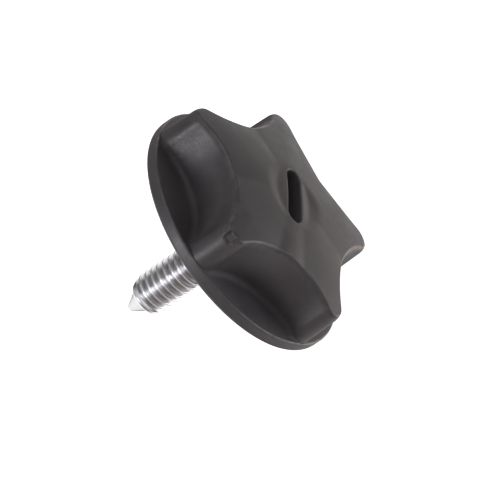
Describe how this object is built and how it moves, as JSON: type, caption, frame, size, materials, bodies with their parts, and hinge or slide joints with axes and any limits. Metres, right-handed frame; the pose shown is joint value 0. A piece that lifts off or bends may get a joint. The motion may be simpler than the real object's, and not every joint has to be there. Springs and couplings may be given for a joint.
{
  "type": "star handwheel with threaded stud",
  "caption": "Star-shaped clamping handwheel moulded on a full round flange, with a slotted hub and a steel threaded stud that ends in a cone point.",
  "frame": {"origin": "on the axis, at the centre of the flange's seating face", "axes": "+Z along the axis from the stud towards the hub; +Y along the slot and the arm that it points to"},
  "size_m": [0.0476, 0.0476, 0.0403],
  "materials": {
    "black_moulding": "moulded, fine matt grain with a slight sheen",
    "plated_steel": "zinc-plated rolled thread"
  },
  "bodies": {
    "root": {"grip": "black_moulding", "stud": "plated_steel"}
  },
  "joints": []
}
